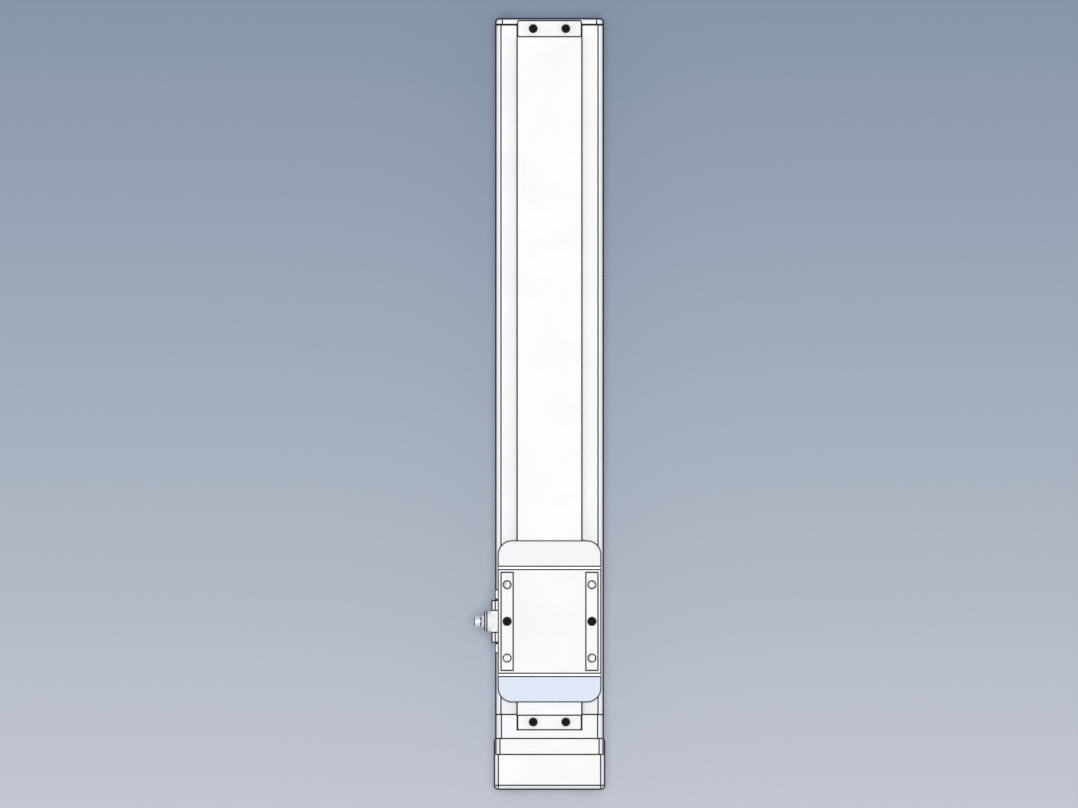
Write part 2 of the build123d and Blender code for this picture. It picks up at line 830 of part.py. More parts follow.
def coupling_spider():
    """Elastic star whose legs lie between the jaws of the two hubs."""
    low_y = spider_near_y + coupling_axial_gap
    high_y = drive_end_y - coupling_axial_gap
    core_radius_of_star = coupling_core_diameter / 2 - seat_gap
    body = ring(core_radius_of_star, spider_bore / 2, low_y, high_y)
    for turn in range(0, 360, 60):
        leg = sector(spider_bore / 2, coupling_diameter / 2 - seat_gap, 30 + turn, spider_leg_angle)
        body += along_y(leg, low_y, high_y)
    return body


def snap_ring():
    """Open retaining ring at the far end of the screw."""
    body = ring(
        snap_ring_diameter / 2,
        far_journal / 2 - snap_ring_groove + seat_gap,
        far_bearing_far_y + seat_gap,
        far_bearing_far_y + snap_ring_thickness - seat_gap,
    )
    mouth = block(
        -far_journal / 4,
        far_journal / 4,
        far_bearing_far_y - over,
        far_bearing_far_y + snap_ring_thickness + over,
        screw_axis_height - snap_ring_diameter,
        screw_axis_height,
    )
    return body - mouth


# Carriage

def saddle():
    """Guide block with a neck through the slot, arms under the centre cover and shoulders beside it."""
    guide_section = rectangle(
        -guide_block_half_width, guide_block_half_width, guide_block_bottom, guide_block_top
    )
    guide_section = fillet(guide_section.vertices(), guide_block_corner_radius)
    for side in (-1, 1):
        for rise in (-guide_ball_rise, guide_ball_rise):
            height = screw_axis_height + rise
            guide_section -= Pos(side * guide_ball_x, height) * Circle(guide_ball_radius + running_gap)
            return_x = side * (guide_block_half_width - return_hole_inset)
            guide_section -= Pos(return_x, height) * Circle(return_hole_radius)
    half_length = inner_block_length / 2
    body = along_y(guide_section, carriage_y - half_length, carriage_y + half_length)
    neck = slot_half_width - guide_gap - moving_gap
    upper = rectangle(-neck, neck, guide_block_top, arm_top)
    arms = rectangle(-carriage_half_width, carriage_half_width, arm_underside, arm_top)
    shoulder = rectangle(shoulder_inner_x, carriage_half_width, arm_underside, table_underside)
    upper = upper + arms + both_sides(shoulder)
    inner_corners = [
        corner for corner in upper.vertices() if abs(abs(corner.X) - neck) < seat_gap and corner.Y > guide_block_top
    ]
    upper = fillet(inner_corners, min(arm_root_radius, (arm_underside - guide_block_top) / 2))
    body += along_y(upper, block_near_y, block_far_y)
    body += block(
        -neck,
        neck,
        carriage_y - half_length,
        carriage_y + half_length,
        guide_block_top - guide_block_corner_radius,
        guide_block_top + moving_gap,
    )
    body -= rod(nut_diameter / 2, block_near_y - over, block_far_y + over)
    body -= nut_key_shape(seat_gap)
    relief = Pos(0, 0, table_underside - pad_top) * tapped_hole(
        payload_hole_size + 2 * screw_hole_gap, table_screw_depth
    )
    for place in payload_hole_places:
        body -= place * relief
    table_thread = tapped_hole(table_screw_size, pad_top - table_screw_sink - table_underside + table_screw_depth)
    for place in table_screw_places:
        body -= place * table_thread
    plate_thread = tapped_hole(guide_plate_screw_size, 3 * guide_plate_screw_size)
    for end, place_end in carriage_ends(block_length / 2 - guide_plate_thickness).items():
        for place in guide_plate_screw_spots():
            body -= place_end * place * plate_thread
    cap_thread = tapped_hole(end_cap_screw_size, 3 * end_cap_screw_size)
    for end, place_end in carriage_ends(block_length / 2).items():
        for place in end_cap_screw_spots(0):
            body -= place_end * place * cap_thread
    return body


def carriage_ends(distance):
    """Frames at both ends of the carriage, each with its own Y pointing outward."""
    return {
        "near": Pos(0, carriage_y - distance, 0) * Rot(0, 0, 180),
        "far": Pos(0, carriage_y + distance, 0),
    }


def guide_plate_screw_spots():
    """Screw places in a guide end plate, in the frame of its end."""
    x = guide_block_half_width - guide_plate_screw_inset
    heights = (guide_block_bottom + guide_plate_screw_inset, guide_block_top - guide_plate_screw_inset)
    return [Pos(side * x, 0, height) * toward_far for side in (-1, 1) for height in heights]


def end_cap_screw_spots(y):
    """Screw places in an end cap's legs, in the frame of its end."""
    height = (arm_underside + table_underside) / 2
    return [Pos(side * end_cap_screw_x, y, height) * toward_far for side in (-1, 1)]


def nut_key_shape(grow):
    """Key between ball nut and guide block, grown on all sides by a gap."""
    center_height = screw_axis_height + nut_diameter / 2
    return Pos(0, carriage_y, center_height) * Box(
        nut_key_width + 2 * grow, nut_key_length + 2 * grow, nut_key_height + 2 * grow
    )


def ball_nut():
    """Round nut, pushed into the guide block and keyed to it."""
    half_length = inner_block_length / 2 - nut_cap_length
    body = ring(
        nut_diameter / 2 - seat_gap,
        screw_diameter / 2 + running_gap,
        carriage_y - half_length,
        carriage_y + half_length,
    )
    return body - nut_key_shape(seat_gap)


def nut_caps():
    """The two plastic caps that turn the balls back at the ends of the nut."""
    half_length = inner_block_length / 2
    caps = []
    for low_y in (carriage_y - half_length, carriage_y + half_length - nut_cap_length):
        caps.append(
            ring(nut_diameter / 2 - seat_gap, screw_diameter / 2 + nut_cap_gap, low_y, low_y + nut_cap_length)
        )
    return group(caps)


def guide_balls(side):
    """The loaded balls on one side, in two rows between rail and guide block."""
    balls = []
    for rise in (-guide_ball_rise, guide_ball_rise):
        for index in range(guide_ball_rows_of):
            y = carriage_y + (index - (guide_ball_rows_of - 1) / 2) * guide_ball_pitch
            balls.append(Pos(side * guide_ball_x, y, screw_axis_height + rise) * Sphere(guide_ball_radius))
    return group(balls)


def guide_end_plate():
    """Plastic plate that turns the guide balls round, drawn outward from the guide block's end."""
    half_width = guide_block_half_width - guide_plate_inset
    section = rectangle(
        -half_width, half_width, guide_block_bottom + guide_plate_inset, guide_block_top - guide_plate_inset
    )
    section = fillet(section.vertices(), guide_block_corner_radius)
    section -= Pos(0, screw_axis_height) * Circle(guide_plate_bore / 2)
    body = along_y(section, 0, guide_plate_thickness)
    sink = guide_plate_screw_size + screw_hole_gap
    passage = head_passage(guide_plate_screw_size, sink, guide_plate_thickness - sink)
    for place in guide_plate_screw_spots():
        body -= Pos(0, guide_plate_thickness - sink, 0) * place * passage
    return body


def guide_plate_screws():
    """The screws of both guide end plates."""
    sink = guide_plate_screw_size + screw_hole_gap
    length = guide_plate_thickness - sink + 2 * guide_plate_screw_size
    screw = cap_screw(guide_plate_screw_size, length)
    screws = []
    for end, place_end in carriage_ends(block_length / 2 - sink).items():
        for place in guide_plate_screw_spots():
            screws.append(place_end * place * screw)
    return group(screws)


def carriage_table():
    """Top plate with two raised pads for the payload."""
    body = block(
        -carriage_half_width, carriage_half_width, block_near_y, block_far_y, table_underside, table_top
    )
    body = fillet(body.faces().sort_by(Axis.Z)[-1].edges(), table_edge_radius)
    for side in (-1, 1):
        pad = block(
            side * pad_center - pad_width / 2,
            side * pad_center + pad_width / 2,
            carriage_y - pad_length / 2,
            carriage_y + pad_length / 2,
            table_top - table_edge_radius,
            pad_top,
        )
        body += break_edges(pad.faces().sort_by(Axis.Z)[-1].edges())
    payload_hole = tapped_hole(payload_hole_size, table_thickness + pad_rise + over)
    for place in payload_hole_places:
        body -= place * payload_hole
    passage = head_passage(table_screw_size, table_screw_sink, table_thickness)
    for place in table_screw_places:
        body -= place * passage
    return body


def bridge_section(height):
    """Section of what spans the centre cover: a top with a leg down on each side."""
    section = rectangle(-carriage_half_width, carriage_half_width, arm_underside, height)
    return section - rectangle(-shoulder_inner_x, shoulder_inner_x, arm_underside - over, table_underside)


def seal_plate():
    """Steel plate between table and end cap, drawn outward from the block's end."""
    body = along_y(bridge_section(table_top), 0, seal_plate_thickness)
    clearance = Cylinder(end_cap_screw_size / 2 + screw_hole_gap, 4 * seal_plate_thickness)
    for place in end_cap_screw_spots(0):
        body -= place * clearance
    return body


def wiper_pocket(gap):
    """Room in an end cap for the wiper, or the wiper's top, smaller by a gap."""
    half_width = cover_half_width - gap
    return block(-half_width, half_width, 0, wiper_thickness - gap, cover_top, table_underside + wiper_rise - gap)


def end_cap():
    """Sloping cap with rounded corners, drawn outward from the seal plate."""
    body = along_y(bridge_section(table_top), 0, end_cap_length)
    plan = rectangle(-carriage_half_width, carriage_half_width, -end_cap_length, end_cap_length)
    plan = fillet(plan.vertices(), min(end_cap_corner_radius, 0.9 * end_cap_length))
    body &= extrude(plan, amount=2 * table_top)
    slope = Polyline(
        (0, arm_underside),
        (0, table_top),
        (end_cap_length, arm_underside + end_cap_end_height),
        (end_cap_length, arm_underside),
        close=True,
    )
    side_view = Rot(0, 0, 90) * Rot(90, 0, 0) * extrude(make_face(slope), amount=body_width, both=True)
    body &= side_view
    body = break_edges(body.faces().sort_by(Axis.Z)[-1].edges())
    body -= wiper_pocket(0)
    passage = head_passage(end_cap_screw_size, end_cap_length, end_cap_screw_seat)
    for place in end_cap_screw_spots(end_cap_screw_seat):
        body -= place * passage
    return body


def wiper():
    """Rubber lip that sweeps the centre cover, drawn outward from the seal plate."""
    body = wiper_pocket(seat_gap)
    return body - block(
        -center_cover_width, center_cover_width, -over, end_cap_length, cover_top - over, cover_top + wiper_gap
    )


def lube_port_block():
    """Flange plate, boss and round collar on the carriage's left side."""
    side_x = -carriage_half_width
    plate = block(
        side_x - port_plate_thickness,
        side_x,
        carriage_y - port_plate_length / 2,
        carriage_y + port_plate_length / 2,
        port_height - port_plate_height / 2,
        port_height + port_plate_height / 2,
    )
    plate = fillet(plate.faces().sort_by(Axis.X)[0].edges().filter_by(Axis.Z), port_plate_corner_radius)
    boss_x = side_x - port_plate_thickness - port_boss_thickness
    boss = block(
        boss_x,
        side_x,
        carriage_y - port_boss_length / 2,
        carriage_y + port_boss_length / 2,
        port_height - port_boss_height / 2,
        port_height + port_boss_height / 2,
    )
    collar = Cylinder(port_collar_diameter / 2, port_collar_length)
    collar = chamfer(collar.edges().group_by(Axis.Z)[-1], port_collar_chamfer)
    place = Pos(side_x - port_plate_thickness, carriage_y, port_height) * toward_left
    body = plate + boss + place * Pos(0, 0, port_collar_length / 2) * collar
    bore = Pos(0, 0, port_collar_length) * tapped_hole(nipple_thread_diameter, nipple_thread_length)
    grease_way = Cylinder(grease_bore / 2, 4 * port_collar_length)
    body -= place * bore + place * grease_way
    for screw_place in port_screw_places:
        body -= screw_place * countersink(port_screw_size, port_plate_thickness)
    return body


def grease_nipple():
    """Hexagon, neck and head on a short thread."""
    outer_face = Pos(
        -carriage_half_width - port_plate_thickness - port_collar_length, carriage_y, port_height
    )
    hexagon = extrude(RegularPolygon(nipple_hex / 2, 6, major_radius=False), amount=nipple_hex_length)
    neck_top = nipple_hex_length + nipple_neck_length
    neck = Pos(0, 0, neck_top / 2) * Cylinder(nipple_neck_diameter / 2, neck_top)
    head = Cylinder(nipple_head_diameter / 2, nipple_head_length)
    head = chamfer(head.edges().group_by(Axis.Z)[-1], nipple_nose_chamfer)
    head = Pos(0, 0, neck_top + nipple_head_length / 2) * head
    thread_reach = nipple_thread_length - seat_gap
    thread = Pos(0, 0, -thread_reach / 2) * Cylinder(core_radius(nipple_thread_diameter) - seat_gap, thread_reach)
    body = hexagon + neck + head + thread
    total = neck_top + nipple_head_length
    body -= Pos(0, 0, total) * Cylinder(grease_bore / 2, nipple_head_length)
    return outer_face * toward_left * body


# All pieces by the name of their node

pieces = {
    "base_extrusion": base_extrusion(),
    "guide_rail_right": guide_rail(),
    "guide_rail_left": mirror(guide_rail(), about=Plane.YZ),
    "side_cover_right": side_cover(),
    "side_cover_left": mirror(side_cover(), about=Plane.YZ),
    "center_cover": center_cover(),
    "cover_clamp_near": cover_clamp(
        body_near_y - near_clamp_length, body_near_y, near_clamp_screw_places
    ),
    "cover_clamp_far": cover_clamp(
        far_clamp_near_y, body_far_y + clamp_on_cap, far_clamp_screw_places
    ),
    "cover_clamp_screws": group(
        at_each(near_clamp_screw_places + far_clamp_screw_places, cap_screw(clamp_screw_size, clamp_screw_length()))
    ),
    "far_end_cap": far_end_cap(),
    "far_end_cap_screws": group(
        at_each(far_cap_screw_places, countersunk_screw(end_screw_size, far_cap_thickness + end_screw_grip))
    ),
    "far_support_block": far_support_block(),
    "far_support_screws": group(
        at_each(support_screw_places, cap_screw(support_screw_size, support_screw_size + support_screw_grip))
    ),
    "far_bearing_outer_ring": bearing_outer_ring(
        far_bearing_outer, far_bearing_inner_ring, far_bearing_width, far_bearing_near_y
    ),
    "near_bearing_block": near_bearing_block(),
    "near_bearing_block_screws": group(
        at_each(near_block_screw_places, cap_screw(end_screw_size, near_block_length + end_screw_size))
    ),
    "near_bearing_outer_rings": group(
        [
            bearing_outer_ring(
                near_bearing_outer,
                near_bearing_inner_ring,
                near_bearing_width,
                near_bearing_near_y + index * near_bearing_width,
            )
            for index in range(near_bearing_count)
        ]
    ),
    "bearing_retainer": bearing_retainer(),
    "bearing_retainer_screws": group(
        at_each(
            retainer_screw_places,
            cap_screw(retainer_screw_size, retainer_flange_thickness + retainer_screw_grip),
        )
    ),
    "coupling_housing": coupling_housing(),
    "coupling_housing_screws": group(
        at_each(
            housing_screw_places,
            cap_screw(motor_bolt_size, housing_length - housing_screw_sink + housing_screw_grip()),
        )
    ),
    "coupling_access_plug": access_plug(),
    "near_bumper": bumper(near_boss_y),
    "far_bumper": bumper(far_block_near_y - bumper_thickness),
    "screw_shaft": screw_shaft(),
    "near_bearing_inner_rings": group(
        [
            ring(
                near_bearing_inner_ring / 2,
                bearing_journal / 2 + seat_gap,
                near_bearing_near_y + index * near_bearing_width,
                near_bearing_near_y + (index + 1) * near_bearing_width,
            )
            for index in range(near_bearing_count)
        ]
    ),
    "screw_spacer": ring(spacer_diameter / 2, bearing_journal / 2 + seat_gap, near_bearing_far_y, near_boss_y),
    "bearing_lock_nut": lock_nut(),
    "far_bearing_inner_ring": ring(
        far_bearing_inner_ring / 2, far_journal / 2 + seat_gap, far_bearing_near_y, far_bearing_far_y
    ),
    "far_snap_ring": snap_ring(),
    "coupling_hub_screw_side": coupling_hub(
        drive_end_y,
        screw_hub_far_y,
        spider_near_y + coupling_axial_gap,
        drive_end_y,
        0,
        drive_journal + 2 * seat_gap,
    ),
    "coupling_hub_motor_side": coupling_hub(
        motor_hub_near_y,
        spider_near_y,
        spider_near_y,
        drive_end_y - coupling_axial_gap,
        60,
        motor_shaft_diameter,
    ),
    "coupling_spider": coupling_spider(),
    "coupling_clamp_screws": group(
        [
            hub_screw_place(y) * cap_screw(hub_screw_size, 3 * hub_screw_size)
            for y in (motor_hub_near_y + coupling_hub_length / 2, drive_end_y + coupling_hub_length / 2)
        ]
    ),
    "carriage_saddle": saddle(),
    "ball_nut": ball_nut(),
    "ball_nut_caps": nut_caps(),
    "ball_nut_key": nut_key_shape(0),
    "guide_balls_left": guide_balls(-1),
    "guide_balls_right": guide_balls(1),
    "guide_end_plate_screws": guide_plate_screws(),
    "carriage_table": carriage_table(),
    "carriage_table_screws": group(
        at_each(
            table_screw_places,
            cap_screw(table_screw_size, pad_top - table_screw_sink - table_underside + table_screw_depth),
        )
    ),
    "lube_port_block": lube_port_block(),
    "lube_port_screws": group(
        at_each(port_screw_places, countersunk_screw(port_screw_size, port_plate_thickness))
    ),
    "grease_nipple": grease_nipple(),
}

for end, place_end in carriage_ends(block_length / 2 - guide_plate_thickness).items():
    pieces["guide_end_plate_" + end] = place_end * guide_end_plate()
for end, place_end in carriage_ends(block_length / 2).items():
    pieces["seal_plate_" + end] = place_end * seal_plate()
for end, place_end in carriage_ends(block_length / 2 + seal_plate_thickness).items():
    pieces["carriage_end_cap_" + end] = place_end * end_cap()
    pieces["wiper_" + end] = place_end * wiper()
pieces["carriage_end_cap_screws"] = group(
    [
        place_end * place * cap_screw(end_cap_screw_size, end_cap_screw_seat + 2 * end_cap_screw_size)
        for place_end in carriage_ends(block_length / 2 + seal_plate_thickness).values()
        for place in end_cap_screw_spots(end_cap_screw_seat)
    ]
)

os.makedirs("parts", exist_ok=True)
for name, piece in pieces.items():
    export_step(piece, "parts/" + name + ".step")
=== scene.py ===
"""Ball screw linear axis seen from straight above, with its finishes and its fine details."""

from math import radians, tau

import bpy
import numpy as np
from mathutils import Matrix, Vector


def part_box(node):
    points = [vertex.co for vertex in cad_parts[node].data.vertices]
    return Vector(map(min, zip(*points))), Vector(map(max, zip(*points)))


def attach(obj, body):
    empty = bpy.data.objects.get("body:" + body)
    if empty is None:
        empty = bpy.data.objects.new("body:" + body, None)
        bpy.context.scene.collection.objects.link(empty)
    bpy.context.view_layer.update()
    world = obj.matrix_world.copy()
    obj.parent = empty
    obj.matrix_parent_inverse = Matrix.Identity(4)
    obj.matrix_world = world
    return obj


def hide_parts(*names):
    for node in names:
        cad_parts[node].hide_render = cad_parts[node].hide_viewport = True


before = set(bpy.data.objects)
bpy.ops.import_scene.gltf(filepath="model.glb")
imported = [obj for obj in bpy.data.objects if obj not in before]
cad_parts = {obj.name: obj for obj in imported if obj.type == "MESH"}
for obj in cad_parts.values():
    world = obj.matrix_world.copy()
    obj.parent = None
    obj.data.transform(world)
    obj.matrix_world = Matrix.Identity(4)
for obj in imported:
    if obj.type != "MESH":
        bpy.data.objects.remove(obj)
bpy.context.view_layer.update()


# Base extrusion and side covers: three aluminium profiles that make the body.
# They are pressed through a die, sawn to length and anodised matt white, so faint
# die lines run along them. Each cover sits on a wall, with a tongue in its rabbet.

mm = 0.001


class Flow:
    """A value or vector on its way through a material. Arithmetic on flows adds Math nodes."""

    def __init__(self, tree, socket=None):
        self.tree = tree
        self.socket = socket

    def node(self, kind, settings=None, sockets=None, output=0):
        """Adds any node: its settings first, then a value or a flow for each of its sockets."""
        node = self.tree.nodes.new(kind)
        for name, value in (settings or {}).items():
            setattr(node, name, value)
        for key, value in (sockets or {}).items():
            if isinstance(value, Flow):
                self.tree.links.new(value.socket, node.inputs[key])
            else:
                node.inputs[key].default_value = value
        return Flow(self.tree, node.outputs[output] if node.outputs else None)

    def calculate(self, operation, *others):
        sockets = {index: value for index, value in enumerate((self, *others))}
        return self.node("ShaderNodeMath", {"operation": operation}, sockets)

    def __add__(self, other):
        return self.calculate("ADD", other)

    def __sub__(self, other):
        return self.calculate("SUBTRACT", other)

    def __mul__(self, other):
        return self.calculate("MULTIPLY", other)

    __radd__ = __add__
    __rmul__ = __mul__

    def __rsub__(self, other):
        return (self * -1.0) + other

    def magnitude(self):
        return self.calculate("ABSOLUTE")

    def at_least(self, other):
        return self.calculate("MAXIMUM", other)

    def at_most(self, other):
        return self.calculate("MINIMUM", other)

    def below(self, limit):
        """1 where the value is under the limit, 0 elsewhere."""
        return self.calculate("LESS_THAN", limit)

    def above(self, limit):
        return self.calculate("GREATER_THAN", limit)

    def ramp(self, low, high, start=0.0, end=1.0):
        """Rises smoothly from start to end while the value goes from low to high."""
        settings = {"interpolation_type": "SMOOTHSTEP"}
        return self.node("ShaderNodeMapRange", settings, {0: self, 1: low, 2: high, 3: start, 4: end})


class Finish:
    """A surface finish: object coordinates to work from, and one shader at the end."""

    def __init__(self, name):
        self.material = bpy.data.materials.new(name)
        self.material.use_nodes = True
        self.material.node_tree.nodes.clear()
        self.flow = Flow(self.material.node_tree)
        self.place = self.flow.node("ShaderNodeTexCoord", output="Object")
        self.x = self.axis(0)
        self.y = self.axis(1)
        self.z = self.axis(2)

    def axis(self, index):
        return self.flow.node("ShaderNodeSeparateXYZ", sockets={0: self.place}, output=index)

    def stretched(self, scale_x, scale_y, scale_z, detail=3.0):
        """Noise between 0 and 1 with its own number of grains per metre along each axis."""
        scale = (scale_x, scale_y, scale_z)
        mapped = self.flow.node("ShaderNodeMapping", sockets={0: self.place, 3: scale})
        sockets = {"Vector": mapped, "Scale": 1.0, "Detail": detail}
        return self.flow.node("ShaderNodeTexNoise", sockets=sockets)

    def blend(self, share, first, second):
        """A colour that goes from the first to the second with the share."""
        settings = {"data_type": "RGBA", "clamp_factor": True}
        return self.flow.node("ShaderNodeMix", settings, {0: share, 6: first, 7: second}, output=2)

    def bump(self, height, depth):
        """Normals that follow a height between 0 and 1, which stands for a depth in metres."""
        sockets = {"Height": height, "Distance": depth, "Strength": 1.0}
        return self.flow.node("ShaderNodeBump", sockets=sockets)

    def surface(self, **sockets):
        """Ends the finish in a shader, named by its sockets with underscores for spaces."""
        named = {key.replace("_", " "): value for key, value in sockets.items()}
        shader = self.flow.node("ShaderNodeBsdfPrincipled", sockets=named)
        self.flow.node("ShaderNodeOutputMaterial", sockets={"Surface": shader})
        return self.material


def cover(names, material):
    """Gives the nodes a finish in place of the plain one that they came with."""
    for name in names:
        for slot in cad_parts[name].material_slots:
            slot.link = "OBJECT"
            slot.material = material


# Black lines painted along edges, seams, hole rims and the turn of roundings are painted shade,
# line_width wide.
line_width = 0.85 * mm
painted_shade_black = (0.012, 0.012, 0.014, 1.0)
most_noise = (0.3, 0.7)
middle_noise = (0.35, 0.65)


def corner_lines(finish, low, high, width=line_width):
    """1 near a box's edges, where the middle one of the three distances to its sides is small."""
    distances = []
    for value, bottom, top in zip((finish.x, finish.y, finish.z), low, high):
        distances.append((value - bottom).magnitude().at_most((value - top).magnitude()))
    first, second, third = distances
    middle = first.at_least(second).at_most(first.at_most(second).at_least(third))
    return middle.below(width)


def outline(u, v, half_u, half_v, radius=0.0, width=line_width):
    """1 on the line round a rectangle with rounded corners, half a width to each side of its edge."""
    over_u = u.magnitude() - (half_u - radius)
    over_v = v.magnitude() - (half_v - radius)
    outside_u = over_u.at_least(0.0)
    outside_v = over_v.at_least(0.0)
    outside = (outside_u * outside_u + outside_v * outside_v).calculate("SQRT")
    inside = over_u.at_least(over_v).at_most(0.0)
    distance = outside + inside - radius
    return distance.magnitude().below(width / 2)


def ring_line(u, v, radius, width=line_width):
    """1 on a circle round the origin of u and v."""
    distance = (u * u + v * v).calculate("SQRT") - radius
    return distance.magnitude().below(width)


def line_at(value, place, width=line_width):
    """1 where a value lies within half a width of its place."""
    return (value - place).magnitude().below(width / 2)


def slope(finish, axis):
    """How far a surface faces along an axis, from -1 to 1."""
    normal = finish.flow.node("ShaderNodeNewGeometry", output="Normal")
    return finish.flow.node("ShaderNodeSeparateXYZ", sockets={0: normal}, output=axis)


def facing_up(finish, limit=0.35):
    """1 on surfaces that look upward."""
    return slope(finish, 2).above(limit)


def white_aluminium(
    finish, lines, tone=0.875, grain=(900.0, 900.0, 900.0), bump_depth=0.004 * mm, roughness=0.52
):
    """Anodised aluminium: near white with a faint grain, and black painted shade along the lines it is
    given.
    """
    noise = finish.stretched(*grain)
    cloud = finish.stretched(35.0, 35.0, 35.0, 2.0)
    shade = noise * 0.5 + cloud * 0.5
    pale = (tone, tone, tone * 1.005, 1.0)
    deep = (tone * 0.955, tone * 0.957, tone * 0.965, 1.0)
    spread = 0.05
    colour = finish.blend(shade.ramp(*middle_noise), deep, pale)
    # Painted shade: black where the lines lie.
    colour = finish.blend(lines, colour, painted_shade_black)
    return finish.surface(
        Base_Color=colour,
        Roughness=noise.ramp(*most_noise, roughness - spread, roughness + spread) + lines * 0.3,
        Specular_IOR_Level=0.25,
        Normal=finish.bump(noise, bump_depth),
    )


base_low, base_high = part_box("base_extrusion")
finish = Finish("matt_white_profile")
profile_grain = (1500.0, 14.0, 1500.0)
# Painted shade: black lines along the extrusion's box edges.
white_profile = white_aluminium(finish, corner_lines(finish, base_low, base_high), grain=profile_grain)
cover(["base_extrusion"], white_profile)

body_half_width = base_high.x
body_corner_radius = 2.75 * mm
body_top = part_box("side_cover_right")[1].z
flat_top_depth = 0.3 * mm
finish = Finish("matt_white_cover_profile")
# Painted shade: black lines where the covers' rounded edges turn down, and at their ends.
side = finish.x.magnitude()
tangent_line = line_at(side, body_half_width - body_corner_radius)
tangent_line = tangent_line * finish.z.above(body_top - flat_top_depth)
end_line = line_at(finish.y.magnitude(), base_high.y)
cover(
    ["side_cover_left", "side_cover_right"],
    white_aluminium(finish, tangent_line.at_least(end_line), tone=0.91, grain=profile_grain),
)


# Centre cover and its clamps: a stiff aluminium plate over the slot, held down at
# both ends by a small plate with two socket screws. The cover is brushed along
# its length and clear anodised. Its long edges are broken by a small chamfer.

cover_low, cover_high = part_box("center_cover")
finish = Finish("brushed_white_cover")
# Painted shade: black lines along the centre cover's box edges.
cover(
    ["center_cover"],
    white_aluminium(
        finish,
        corner_lines(finish, cover_low, cover_high),
        grain=(2600.0, 9.0, 2600.0),
        bump_depth=0.003 * mm,
        roughness=0.47,
    ),
)
clamp_corner_radius = 1.5 * mm
for name in ("cover_clamp_near", "cover_clamp_far"):
    low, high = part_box(name)
    finish = Finish("satin_white_" + name)
    along = finish.y - (low.y + high.y) / 2
    # Painted shade: a black line round each clamp's top.
    rim = outline(finish.x, along, high.x, (high.y - low.y) / 2, clamp_corner_radius, 2 * line_width)
    cover([name], white_aluminium(finish, rim * facing_up(finish)))


# Far end cap and far support block: milled aluminium. The cap closes the profile
# with four countersunk screws, and the block behind it carries the far bearing
# and the end of the centre cover.

square_limit = 0.8


def off_the_ends(finish):
    """1 except on faces square to the axis, which a line at their own place would turn black."""
    return slope(finish, 1).magnitude().below(square_limit)


cap_low, cap_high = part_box("far_end_cap")
far_cap_corner_radius = 3.6 * mm
finish = Finish("satin_white_end_cap")
# Painted shade: black lines at the cap's seam with the profile and where its rounded corners turn.
cap_line = line_at(finish.y, cap_low.y + line_width / 2) * off_the_ends(finish)
cap_tangent = line_at(finish.x.magnitude(), cap_high.x - far_cap_corner_radius) * facing_up(finish)
cover(["far_end_cap"], white_aluminium(finish, cap_line.at_least(cap_tangent), tone=0.91))

finish = Finish("satin_white_support_block")
low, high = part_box("far_support_block")
# Painted shade: black lines along the block's box edges.
cover(["far_support_block"], white_aluminium(finish, corner_lines(finish, low, high)))


# Near bearing block: milled from solid, with a recess for the near clamp.
# Its top corners are rounded, and its ends carry a fine chamfer at the seams.

block_near_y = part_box("near_bearing_block")[0].y
body_near_y = base_low.y
block_corner_radius = 3.0 * mm
finish = Finish("satin_white_bearing_block")
# Painted shade: black lines at the block's seams and where its rounded corners turn.
block_seam_shade = line_at(finish.y, block_near_y).at_least(line_at(finish.y, body_near_y))
block_seam_shade = block_seam_shade * off_the_ends(finish)
block_tangent = line_at(finish.x.magnitude(), body_half_width - block_corner_radius)
block_tangent = block_tangent * facing_up(finish)
cover(["near_bearing_block"], white_aluminium(finish, block_seam_shade.at_least(block_tangent)))


# Coupling housing: a milled block between bearing block and motor, with a raised
# collar against the bearing block and the motor's pilot bore in its outer face.

housing_low, housing_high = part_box("coupling_housing")
housing_edge_radius = 2.0 * mm
collar_length = 9.8 * mm
collar_near_y = housing_high.y - collar_length
collar_edge_radius = 2.1 * mm
finish = Finish("satin_white_housing")
up = facing_up(finish)
side = finish.x.magnitude()
on_collar = finish.y.above(collar_near_y)
# Painted shade: black lines where roundings turn, at the collar's step and side, at the motor end and at
# the seam.
housing_lines = line_at(side, housing_high.x - housing_edge_radius) * up * (1.0 - on_collar)
collar_tangent = line_at(side, body_half_width - collar_edge_radius) * up * on_collar
collar_step = line_at(finish.y, collar_near_y) * up
collar_side = line_at(side, body_half_width + line_width / 2) * up * on_collar
motor_edge = line_at(finish.y, housing_low.y + housing_edge_radius) * up
seam_shade = line_at(finish.y, housing_high.y) * off_the_ends(finish)
for line in (collar_tangent, collar_step, collar_side, motor_edge, seam_shade):
    housing_lines = housing_lines.at_least(line)
cover(["coupling_housing"], white_aluminium(finish, housing_lines))


# Table: a milled plate on the shoulders of the saddle, with two raised pads that
# the payload stands on. Each pad has two tapped holes and one counterbored screw.

table_low, table_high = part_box("carriage_table")
carriage_y = (table_low.y + table_high.y) / 2
carriage_half_width = table_high.x
pad_center = 26.0 * mm
pad_half_width = 3.7 * mm
pad_half_length = 30.05 * mm
payload_half_spacing_y = 22.5 * mm
payload_thread_radius = 2.4 * mm
pad_top_depth = 1.2 * mm
slider_corner_radius = 8.9 * mm
slider_line_width = 1.7 * line_width
seam_shade_width = 1.2 * line_width
slider_half_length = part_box("carriage_end_cap_far")[1].y - carriage_y


def slider_lines(finish):
    """The outline of the slider seen from above, as wide as a chamfer, on what looks upward, for painted
    shade.
    """
    along = finish.y - carriage_y
    edge = outline(
        finish.x,
        along,
        carriage_half_width,
        slider_half_length,
        slider_corner_radius,
        slider_line_width,
    )
    return edge * facing_up(finish)


finish = Finish("satin_white_table")
along = finish.y - carriage_y
across = finish.x.magnitude() - pad_center
on_top = finish.z.above(table_high.z - pad_top_depth)
